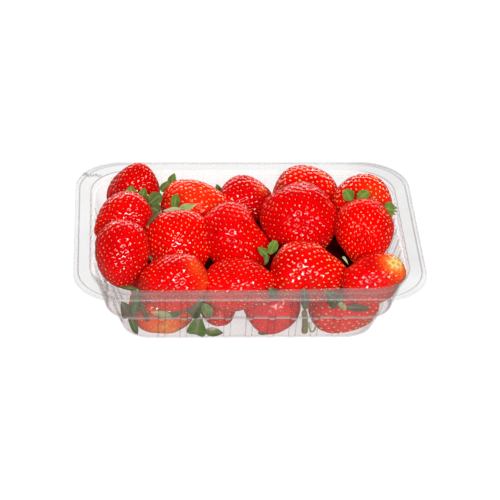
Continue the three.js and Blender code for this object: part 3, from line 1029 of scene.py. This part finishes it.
skin, tree, shader = new_material(
    "berry_skin", Roughness=0.35, IOR=1.4, Specular_IOR_Level=0.2,
    Specular_Tint=(1, 0.08, 0.08), Coat_Roughness=0.07, Coat_IOR=1.55,
)
tree.links.new(read_attribute(tree, "wetness"), shader.inputs["Coat Weight"])
blush = add_group(tree, mottle, Scale=90, Low=-0.4, High=0.45)
warmth = math_node(tree, "ADD", read_attribute(tree, "warmth"), blush.outputs["Mask"], clamp=True)
red = mix_colours(tree, warmth, CRIMSON, SCARLET)
unripe = read_attribute(tree, "unripe")
patchy = add_group(tree, mottle, Scale=220, Low=0.75, High=1.25)
unripe = math_node(tree, "MULTIPLY", unripe, patchy.outputs["Mask"], clamp=True)
orange_share = math_node(tree, "MULTIPLY", unripe, ORANGE_GAIN, clamp=True)
straw_share = math_node(tree, "SUBTRACT", unripe, STRAW_START)
straw_share = math_node(tree, "MULTIPLY", straw_share, STRAW_GAIN, clamp=True)
colour = mix_colours(tree, orange_share, red, ORANGE)
colour = mix_colours(tree, straw_share, colour, STRAW)
# Painted shade: the skin's colour is darkened in the pits.
pit_share = math_node(tree, "MULTIPLY", read_attribute(tree, "pit"), PIT_SHADE_SHARE)
colour = mix_colours(tree, pit_share, colour, PIT_SHADE, "MULTIPLY")
tree.links.new(colour, shader.inputs["Base Color"])
add_bump(tree, [shader], scale=1400, distance=0.00005, strength=0.4)
for piece in upper + front + hidden:
    piece.data.materials.append(skin)
print("berry skin lies on", len(upper + front + hidden), "berries")


# %% Join the berries in rows
def join_row(pieces, name):
    """Joins the berries of one row into a piece that rides on the tray."""
    piece = join(pieces, name)
    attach(piece, "root")
    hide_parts("strawberries")
    print(name, "has", len(piece.data.polygons), "faces")


join_row([upper[i] for i in (0, 2, 6, 7, 9)], "berries_back")
join_row([upper[i] for i in (1, 3, 4, 5, 8)], "berries_middle")
join_row([upper[i] for i in (10, 11, 12, 13, 14)], "berries_front")
join_row(front + hidden, "berries_lower")

# %% [markdown]
# ## Seeds
#
# What look like seeds are tiny dry fruits, golden and shaped like a drop. A bump in the skin's
# material could stand for them, but it would cast no shadow into its pit. So one is modelled
# and then copied into every pit, turned along the berry and sunk a little. Those that would
# lie inside another berry are left out.

# %% Model one seed
SEED_LENGTH, SEED_WIDTH, SEED_HEIGHT = 1.35, 0.85, 0.6
SEED_NARROWING = 0.3  # towards the cap
bpy.ops.mesh.primitive_ico_sphere_add(subdivisions=1, radius=1)
seed = named("seed")
drop = points_of(seed.data) * MM
narrowing = 1 - SEED_NARROWING * drop[:, 0]
seed_points = np.column_stack([
    drop[:, 0] * SEED_LENGTH / 2,
    drop[:, 1] * SEED_WIDTH / 2 * narrowing,
    drop[:, 2] * SEED_HEIGHT / 2,
])
seed_faces = np.array([face.vertices[:] for face in seed.data.polygons])
bpy.data.objects.remove(seed)
print("a seed has", len(seed_faces), "faces")


# %% Copy it into the pits
SEED_LIFT = 0.12
SEED_SIZES = (0.78, 1.12)
SEED_TONES = (-0.45, 0.4)  # redder or paler than the berry's usual seed
COVERED_SCALE = 0.97


def visible_places(places, owners):
    """The seed places that are on these berries and not inside another berry."""
    chosen = [place for place in places if place[4].split("_")[0] in owners]
    points = np.array([place[0] for place in chosen])
    names = np.array([place[4] for place in chosen])
    covered = np.zeros(len(points), bool)
    layers = (("upper", UPPER_LAYER), ("front", FRONT_LAYER), ("hidden", HIDDEN_LAYER))
    for layer, berries in layers:
        for i, berry in enumerate(berries):
            covered |= is_inside(points, berry, COVERED_SCALE) & (names != f"{layer}_{i}")
    return [place for place, hidden_away in zip(chosen, covered) if not hidden_away]


def make_seeds(name, owners, random):
    """Copies the seed to all visible places of these berries, as one piece."""
    points, faces, tones = [], [], []
    for at, normal, cap, size, _, gold in visible_places(seed_places, owners):
        along = cap - normal * (cap @ normal)
        along = along / max(np.linalg.norm(along), 0.001)
        axes = np.array([along, np.cross(normal, along), normal])
        scale = size * random.uniform(*SEED_SIZES)
        placed = (seed_points * scale) @ axes + at + normal * SEED_LIFT
        faces.append(seed_faces + len(points) * len(seed_points))
        points.append(placed)
        tones.append(np.full(len(seed_points), gold + random.uniform(*SEED_TONES)))
    piece = piece_from(name, np.concatenate(points), np.concatenate(faces).tolist())
    write_attribute(piece.data, "tone", np.concatenate(tones))
    smooth(piece)
    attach(piece, "root")
    print(name, "has", len(faces), "seeds")
    return piece


random = np.random.default_rng(11)
upper_seeds = make_seeds("seeds_upper", ("upper",), random)
lower_seeds = make_seeds("seeds_lower", ("front", "hidden"), random)

# %% Seed finish
SEED_RED, SEED_GOLD = (0.85, 0.14, 0.04), (1.0, 0.45, 0.12)

seed_skin, tree, shader = new_material("seed_gold", Roughness=0.38, Coat_Weight=0.6)
tone = read_attribute(tree, "tone")
husk = add_group(tree, mottle, Scale=1200, Low=-0.2, High=0.2)
tone = math_node(tree, "ADD", tone, husk.outputs["Mask"], clamp=True)
colour = mix_colours(tree, tone, SEED_RED, SEED_GOLD)
tree.links.new(colour, shader.inputs["Base Color"])
add_bump(tree, [shader], scale=2500, distance=0.0001, strength=0.4)
for piece in (upper_seeds, lower_seeds):
    piece.data.materials.append(seed_skin)
print("seeds run from", SEED_RED, "to", SEED_GOLD)

# %% [markdown]
# ## Green caps
#
# The cap is a ring of thin pointed leaves, some with small teeth at the end, some blunt. Each
# could be drawn by hand, but only their tips show, so three are enough. They are modelled flat
# from a grid, with Solidify for their thickness. Every leaf of the punnet is a copy that is
# bowed, folded along its middle and laid from its root to its tip.

# %% Model three flat leaves
LEAF_THICKNESS = 0.45
LEAF_ROWS, LEAF_COLUMNS = 12, 12


def pointed_outline(along, across):
    """Half width and reach of a pointed leaf of length and width 1."""
    half = 0.5 * np.sin(math.pi * along ** 0.75) ** 0.8 * (1 - 0.15 * along) + 0.02
    return along, across * half


def toothed_outline(along, across):
    """The same for a broad leaf that ends in three teeth."""
    half = 0.5 * np.sin(0.5 * math.pi * np.minimum(along / 0.6, 1)) * (1 - 0.42 * along ** 3)
    teeth = 0.24 * (1 - np.cos(3 * math.pi * across)) / 2 + 0.14 * across ** 2
    return along * (1 - teeth * along ** 2), across * (half + 0.03)


def rounded_outline(along, across):
    """The same for a blunt leaf that is broadest past its middle."""
    half = 0.5 * np.sin(math.pi * along ** 1.25) ** 0.6
    return along, across * (half + 0.04)


def model_leaf(name, outline):
    """A flat leaf mesh from (0, 0, 0) to (1, 0, 0), with its thickness in millimetres."""
    bpy.ops.mesh.primitive_grid_add(x_subdivisions=LEAF_ROWS, y_subdivisions=LEAF_COLUMNS, size=2)
    leaf = named(name)
    flat = points_of(leaf.data) * MM
    along, across = outline((flat[:, 0] + 1) / 2, flat[:, 1])
    write_points(leaf.data, np.column_stack([along, across, np.zeros(len(along))]) / MM)
    apply_modifier(leaf, "SOLIDIFY", thickness=1, offset=0)
    points = points_of(leaf.data) * MM
    faces = [face.vertices[:] for face in leaf.data.polygons]
    bpy.data.objects.remove(leaf)
    return points, faces


leaf_models = {
    "pointed": model_leaf("pointed_leaf", pointed_outline),
    "toothed": model_leaf("toothed_leaf", toothed_outline),
    "rounded": model_leaf("rounded_leaf", rounded_outline),
}
print("flat leaves:", ", ".join(leaf_models))

# %% Lay a leaf from its root to its tip
LEAF_RIPPLE, RIPPLE_WAVE = 0.05, 9
VEIN_WIDTH = 0.06
leaf_copies = []


def lay_leaf(root, tip, width, kind="pointed", bow=0.1, fold=0.25, looks=(0, -0.75, 0.65),
             tone=0.5, twist=0.0):
    """Adds one leaf. bow lifts its middle and fold its sides, as shares of length and width."""
    points, faces = leaf_models[kind]
    root, tip = np.array(root, float), np.array(tip, float)
    length = np.linalg.norm(tip - root)
    along = (tip - root) / length
    looks = np.array(looks, float)
    face = looks - along * (looks @ along)
    face /= np.linalg.norm(face)
    side = np.cross(face, along)
    share, across = points[:, 0], points[:, 1]
    turn = twist * (share - 0.5)
    rise = bow * length * 4 * share * (1 - share) + fold * width * np.abs(across) * 2
    ripple = np.sin(RIPPLE_WAVE * share) * np.sign(across) * np.abs(across) * 2
    rise += LEAF_RIPPLE * width * ripple
    rise += points[:, 2] * LEAF_THICKNESS
    sideways = across * width
    placed = (
        root + np.outer(share * length, along)
        + np.outer(sideways * np.cos(turn) - rise * np.sin(turn), side)
        + np.outer(sideways * np.sin(turn) + rise * np.cos(turn), face)
    )
    vein = np.exp(-(across / VEIN_WIDTH) ** 2) * (1 - share)
    leaf_copies.append((placed, faces, np.full(len(placed), tone), vein))


# %% Leaves that show, laid one by one
# Each row: root, tip, width and then what makes it differ from a plain pointed leaf.
UPPER_LEAVES = (
    ((-63.3, 15.7, 53.6), (-62.4, 19.4, 59.8), 7, dict(tone=0.45)),
    ((-57.3, 14.5, 52.4), (-55.2, 18.5, 58.9), 6, dict(tone=0.4)),
    ((-53.5, 13.0, 51.0), (-46.2, 15.6, 56.6), 7.0, dict(kind="rounded", tone=0.33)),
    ((-53.5, 11.8, 51.0), (-46.8, 9.4, 48.6), 7.0, dict(kind="rounded", tone=0.3)),
    ((-45.9, 31.1, 48.4), (-41.2, 33.4, 54.2), 4.6, dict(tone=0.35, bow=0.15)),
    ((-40.8, 34.8, 51.0), (-38.5, 37.1, 56.6), 4.8, dict(tone=0.42)),
    ((-39.5, 4.8, 52.4), (-38.3, 9.4, 60.6), 4.6, dict(kind="rounded", tone=0.4, bow=0.12)),
    ((-36.8, 4.9, 53.0), (-27.4, 5.3, 56.6), 4.2, dict(tone=0.85, twist=0.5)),
    ((-35.8, 4.0, 53.9), (-45.5, 3.8, 53.2), 3.2, dict(tone=1.0, bow=0.05)),
    ((-47.6, -2.6, 56.8), (-55.2, -9.6, 51.4), 2.6, dict(tone=0.0, bow=0.22, fold=0.7)),
    ((-49.5, -3.8, 56.4), (-54.4, -9.4, 50.6), 1.0, dict(tone=1.0, bow=0.1)),
    ((-13.3, 43.9, 39.0), (-14.6, 46.0, 43.9), 4, dict(tone=0.4)),
    ((56.6, 2.1, 60.2), (51.9, 5.2, 66.8), 7.2, dict(kind="toothed", tone=0.45)),
    ((58.9, 2.3, 60.8), (66.9, 4.1, 65.8), 6.6, dict(kind="toothed", tone=0.5)),
    ((71.8, -2.0, 58.9), (81.2, -4.4, 57.6), 8.0, dict(kind="toothed", tone=0.45)),
    ((11.1, -25.0, 44.0), (14.2, -22.2, 51.2), 5.0, dict(kind="rounded", tone=0.55)),
    ((9.5, -26.0, 44.0), (4.5, -24.2, 48.2), 4.6, dict(tone=0.45)),
    ((9.3, -27.6, 45.5), (8.6, -31.2, 41.6), 3.0, dict(tone=0.28)),
    ((49.1, -33.8, 48.2), (51.9, -39.4, 46.9), 1.5, dict(tone=1.0, bow=0.3)),
    ((-53.2, -27.0, 44.6), (-51.6, -31.4, 43.7), 1.2, dict(tone=0.2)),
    ((-58.9, -42.4, 33.4), (-69.5, -40.5, 33.8), 2.4, dict(tone=0.2, bow=0.1)),
)
WALL_LEAVES = (
    ((-59.8, -54.0, 42.0), (-61.0, -47.0, 19.5), 5.2, dict(tone=0.22)),
    ((-57.9, -51.6, 31.7), (-54.3, -45.0, 14.2), 2.6, dict(tone=0.18)),
    ((-64.7, -44.0, 18.2), (-59.5, -40.5, 3.2), 4.2, dict(tone=0.2, twist=0.6)),
    ((-68.2, -50.4, 31.5), (-64.0, -44.6, 18.0), 7.0, dict(kind="rounded", tone=0.1, bow=0.05)),
    ((-25.6, -52.0, 34.2), (-31.9, -48.4, 22.0), 9.0, dict(kind="rounded", tone=0.18)),
    ((-26.3, -50.6, 30.2), (-20.8, -45.0, 18.0), 6.0, dict(tone=0.6)),
    ((-26.7, -44.3, 18.2), (-28.3, -40.5, 3.0), 9.6, dict(kind="rounded", tone=0.33)),
    ((-23.3, -40.8, 4.6), (-13.6, -40.2, 3.4), 5.0, dict(tone=0.28)),
    ((-23.0, -40.6, 6.2), (-15.6, -40.0, 5.6), 1.6, dict(tone=0.9)),
    ((-41.3, -45.2, 17.6), (-53.1, -48.6, 23.4), 4.0, dict(tone=1.0)),
    ((-41.6, -45.6, 18.4), (-34.6, -50.0, 25.9), 4.0, dict(tone=0.25)),
    ((9.2, -55.0, 43.0), (13.4, -51.0, 34.0), 5.5, dict(tone=0.1)),
    ((27.3, -54.2, 42.6), (29.0, -49.4, 25.0), 5.0, dict(tone=0.08)),
    ((38.5, -54.0, 40.7), (46.0, -50.4, 29.0), 8.5, dict(kind="rounded", tone=0.12)),
    ((46.6, -51.0, 31.1), (50.6, -49.4, 24.6), 3.2, dict(tone=0.9)),
    ((51.2, -50.0, 27.0), (64.2, -49.2, 25.0), 4.4, dict(tone=0.12)),
    ((10.5, -40.6, 5.5), (5.4, -39.6, 2.6), 4.0, dict(tone=0.15)),
)
for root, tip, width, ways in UPPER_LEAVES + WALL_LEAVES:
    lay_leaf(root, tip, width, **ways)
print("leaves laid one by one:", len(leaf_copies))

# %% [markdown]
# ### Caps at the back of the heap
#
# Berries that turn their backs to the viewer have whole caps, which show from behind. Each
# leaf of a ring is laid only where it is out of the viewer's sight, because the leaves that
# are in sight have been laid one by one, and where no berry or wall is in its way.

# %% Where a leaf may lie
SIGHT_STEPS = np.arange(2, 70, 2)  # along the line of sight, towards the camera
TIP_INSET, TIP_FLOOR = 12, 3  # a tip keeps this far in from the rim and off the base
WALL_START, WALL_SLOPE = 40, 0.33  # and below this height it follows the wall inwards


def is_free(point, owner):
    """True if a leaf tip there would lie clear of the other berries and of the tray."""
    spot = np.array([point])
    others = [berry for berry in ALL_BERRIES if berry is not owner]
    inset = max(0, WALL_START - point[2]) * WALL_SLOPE
    half_length = TRAY_LENGTH / 2 - TIP_INSET - inset
    half_width = TRAY_WIDTH / 2 - TIP_INSET - inset
    in_tray = abs(point[0]) < half_length and abs(point[1]) < half_width
    in_tray = in_tray and point[2] > TIP_FLOOR
    return in_tray and not any(is_inside(spot, berry, 1.0)[0] for berry in others)


def is_behind(point):
    """True if a berry stands between the camera and that point."""
    line = point + np.outer(SIGHT_STEPS, np.array(back))
    return any(is_inside(line, berry, 1.0).any() for berry in ALL_BERRIES)


# %% Rings of leaves
RING_LEAVES = 7
RING_BERRIES = ((0, 0.5), (8, 0.3), (9, 0.9), (10, 1.2), (2, 0.2), (6, 1.9))
HIDDEN_CAPS = (0, 3, 4, 7)
RING_SHAKE = (-0.2, 0.2)
RING_REACH, RING_LIFT = (8, 11), (-2, 3)
RING_WIDTH, RING_TONES = (4.5, 6.5), (0.25, 0.6)
RING_ROOT, RING_SINK = 0.8, 0.6
LOOK_SHARES = (0.5, 1, 1.35)  # places along a leaf that have to be out of sight
LOOK_ASIDE = 3  # and beside its middle


def lay_cap(berry, start, random):
    """Lays the leaves of one cap, as far as each is out of sight and free."""
    side, third, cap = berry_axes(berry)
    end = np.array(berry["at"]) + cap * berry["length"] / 2
    for step in range(RING_LEAVES):
        angle = start + 2 * math.pi * step / RING_LEAVES + random.uniform(*RING_SHAKE)
        outward = side * math.cos(angle) + third * math.sin(angle)
        reach = random.uniform(*RING_REACH)
        tip = end + outward * reach + cap * random.uniform(*RING_LIFT)
        aside = np.cross(cap, outward) * LOOK_ASIDE
        spots = [end + outward * reach * share for share in LOOK_SHARES]
        spots += [spots[0] + aside, spots[0] - aside, tip]
        if all(map(is_behind, spots)) and is_free(tip, berry):
            root = end + outward * RING_ROOT - cap * RING_SINK
            lay_leaf(root, tip, random.uniform(*RING_WIDTH), bow=0.12, looks=cap,
                     tone=random.uniform(*RING_TONES))


random = np.random.default_rng(5)
for number, start in RING_BERRIES:
    lay_cap(UPPER_LAYER[number], start, random)
for number in HIDDEN_CAPS:
    lay_cap(HIDDEN_LAYER[number], number, random)

# %% Join the leaves
points, faces = [], []
for placed, leaf_faces, _, _ in leaf_copies:
    offset = sum(map(len, points))
    faces += [[corner + offset for corner in face] for face in leaf_faces]
    points.append(placed)
caps = piece_from("green_caps", np.concatenate(points), faces)
write_attribute(caps.data, "tone", np.concatenate([tone for _, _, tone, _ in leaf_copies]))
write_attribute(caps.data, "vein", np.concatenate([vein for _, _, _, vein in leaf_copies]))
smooth(caps)
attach(caps, "root")
print("green caps have", len(leaf_copies), "leaves and", len(caps.data.polygons), "faces")

# %% Leaf finish
LEAF_TONES = (  # from dried brown to pale
    (0.0, (0.16, 0.085, 0.03)),
    (0.12, (0.075, 0.08, 0.045)),
    (0.45, (0.12, 0.21, 0.025)),
    (0.7, (0.2, 0.32, 0.07)),
    (1.0, (0.42, 0.46, 0.26)),
)
VEIN_COLOUR = (0.4, 0.45, 0.2)
VEIN_SHARE = 0.45

leaf_skin, tree, shader = new_material("cap_leaf", Roughness=0.5, IOR=1.4, Sheen_Weight=0.15)
tone = read_attribute(tree, "tone")
spots = add_group(tree, mottle, Scale=350, Low=-0.12, High=0.12)
tone = math_node(tree, "ADD", tone, spots.outputs["Mask"], clamp=True)
ramp = add_node(tree, "ShaderNodeValToRGB", Fac=tone)
stops = ramp.color_ramp.elements
for stop, (position, leaf_colour) in ((stops[0], LEAF_TONES[0]), (stops[1], LEAF_TONES[-1])):
    stop.position = position
    stop.color = (*leaf_colour, 1)
for position, leaf_colour in LEAF_TONES[1:-1]:
    stops.new(position).color = (*leaf_colour, 1)
vein_share = math_node(tree, "MULTIPLY", read_attribute(tree, "vein"), VEIN_SHARE)
colour = mix_colours(tree, vein_share, ramp.outputs["Color"], VEIN_COLOUR)
tree.links.new(colour, shader.inputs["Base Color"])
add_bump(tree, [shader], scale=1500, distance=0.0002, strength=0.5)
caps.data.materials.append(leaf_skin)
print("leaf finish has", len(stops), "tones")

# %% [markdown]
# ## Stalk ends
#
# A few berries keep a short end of their stalk. A straight rod would look like wire, so each is
# a small disc extruded along a gentle bend, a little thicker where it was picked.

# %% Stalk ends
STALK_SIDES = 12
STALK_VEIN = 0.6
PICKED_END = 1.15
END_ROUNDING = 0.2
# Each row: radius, tone from brown (0) to pale (1), and the places along the bend.
STALKS = (
    (1.65, 0.04, (
        (28.9, -48.8, 23.0), (29.6, -45.8, 17.0), (30.2, -43.0, 11.0), (30.3, -41.2, 5.0),
    )),
    (0.5, 0.9, (
        (32.2, -43.6, 12.5), (32.6, -42.0, 8.0), (33.4, -41.0, 5.0),
        (34.6, -40.8, 4.2), (35.7, -41.1, 5.6), (36.1, -42.0, 9.0),
    )),
    (1.0, 0.5, (
        (-60.5, 5.0, 53.0), (-58.5, 8.5, 55.0), (-57.0, 11.5, 55.0), (-55.5, 13.0, 54.0),
    )),
)


def make_stalk(name, radius, tone, path):
    """A round stalk along the places of its path."""
    start, second = Vector(path[0]), Vector(path[1])
    bpy.ops.mesh.primitive_circle_add(vertices=STALK_SIDES, radius=radius * MM, fill_type="NGON")
    stalk = named(name)
    turn = (second - start).to_track_quat("Z", "Y").to_matrix().to_4x4()
    stalk.data.transform(Matrix.Translation(start * MM) @ turn)
    bpy.ops.object.mode_set(mode="EDIT")
    bpy.ops.mesh.select_all(action="SELECT")
    for before, after in zip(path, path[1:]):
        step = (Vector(after) - Vector(before)) * MM
        bpy.ops.mesh.extrude_region_move(TRANSFORM_OT_translate={"value": step})
    bpy.ops.transform.resize(value=(PICKED_END,) * 3)
    bpy.ops.mesh.select_all(action="SELECT")
    bpy.ops.mesh.normals_make_consistent(inside=False)
    bpy.ops.object.mode_set(mode="OBJECT")
    rounding = END_ROUNDING * radius * MM
    apply_modifier(stalk, "BEVEL", width=rounding, segments=2, limit_method="ANGLE")
    apply_modifier(stalk, "SUBSURF", levels=2, render_levels=2)
    for look, value in (("tone", tone), ("vein", STALK_VEIN)):
        write_attribute(stalk.data, look, np.full(len(stalk.data.vertices), value))
    smooth(stalk)
    return stalk


stalks = [make_stalk(f"stalk_{i}", *stalk) for i, stalk in enumerate(STALKS)]
stalk_ends = join(stalks, "stalk_ends")
stalk_ends.data.materials.clear()
stalk_ends.data.materials.append(leaf_skin)
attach(stalk_ends, "root")
print("stalk ends have", len(stalk_ends.data.polygons), "faces")

# %% [markdown]
# ## The middle of the heap
#
# Between the layers lies what no one sees but as dark red gaps. More berries could fill it, but
# a rounded block does as well. Its near-black red is painted shade, the shade deep in those
# gaps. It is kneaded so that it has no flat face, closes the view through the heap and stays
# clear of the walls.

# %% Heap core
CORE_MIDDLE = (0, 8, 26)
CORE_SIZE = (122, 60, 22)
CORE_BOXINESS = 0.7
CORE_WAVE, CORE_BUMP = 0.35, 0.8
# Painted shade: the block's colours are the dark of the shaded gaps, not a berry's red.
CORE_DEEP_SHADE, CORE_SHADE_RED = (0.03, 0.0006, 0.001), (0.1, 0.002, 0.003)

bpy.ops.mesh.primitive_ico_sphere_add(subdivisions=5, radius=1)
core = named("heap_core")
ball = points_of(core.data) * MM
boxy = np.sign(ball) * np.abs(ball) ** CORE_BOXINESS * np.array(CORE_SIZE) / 2
bumps = sum(np.sin(boxy[:, [axis]] * CORE_WAVE + axis) for axis in range(3))
write_points(core.data, boxy + ball * bumps * CORE_BUMP + np.array(CORE_MIDDLE))
core_skin, tree, shader = new_material("heap_shade", Roughness=0.7, Specular_IOR_Level=0.1)
shade = add_group(tree, mottle, Scale=90, Low=0.0, High=1.0)
gap_shade = mix_colours(tree, shade.outputs["Mask"], CORE_DEEP_SHADE, CORE_SHADE_RED)
tree.links.new(gap_shade, shader.inputs["Base Color"])
add_bump(tree, [shader], scale=200, distance=0.0008, strength=0.6)
core.data.materials.append(core_skin)
smooth(core)
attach(core, "root")
print("heap core has", len(core.data.polygons), "faces")

# %% [markdown]
# ## Both boxes
#
# The looks may stand a little proud of the construction model, but not change its size, so
# both boxes are printed at the end.

# %% Print both boxes
dressed_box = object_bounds()
sizes = {
    "cad": [list(corner) for corner in cad_box],
    "visual": [list(corner) for corner in dressed_box],
}
for name, (low, high) in sizes.items():
    print(name, [round((b - a) / MM, 1) for a, b in zip(low, high)], "mm")
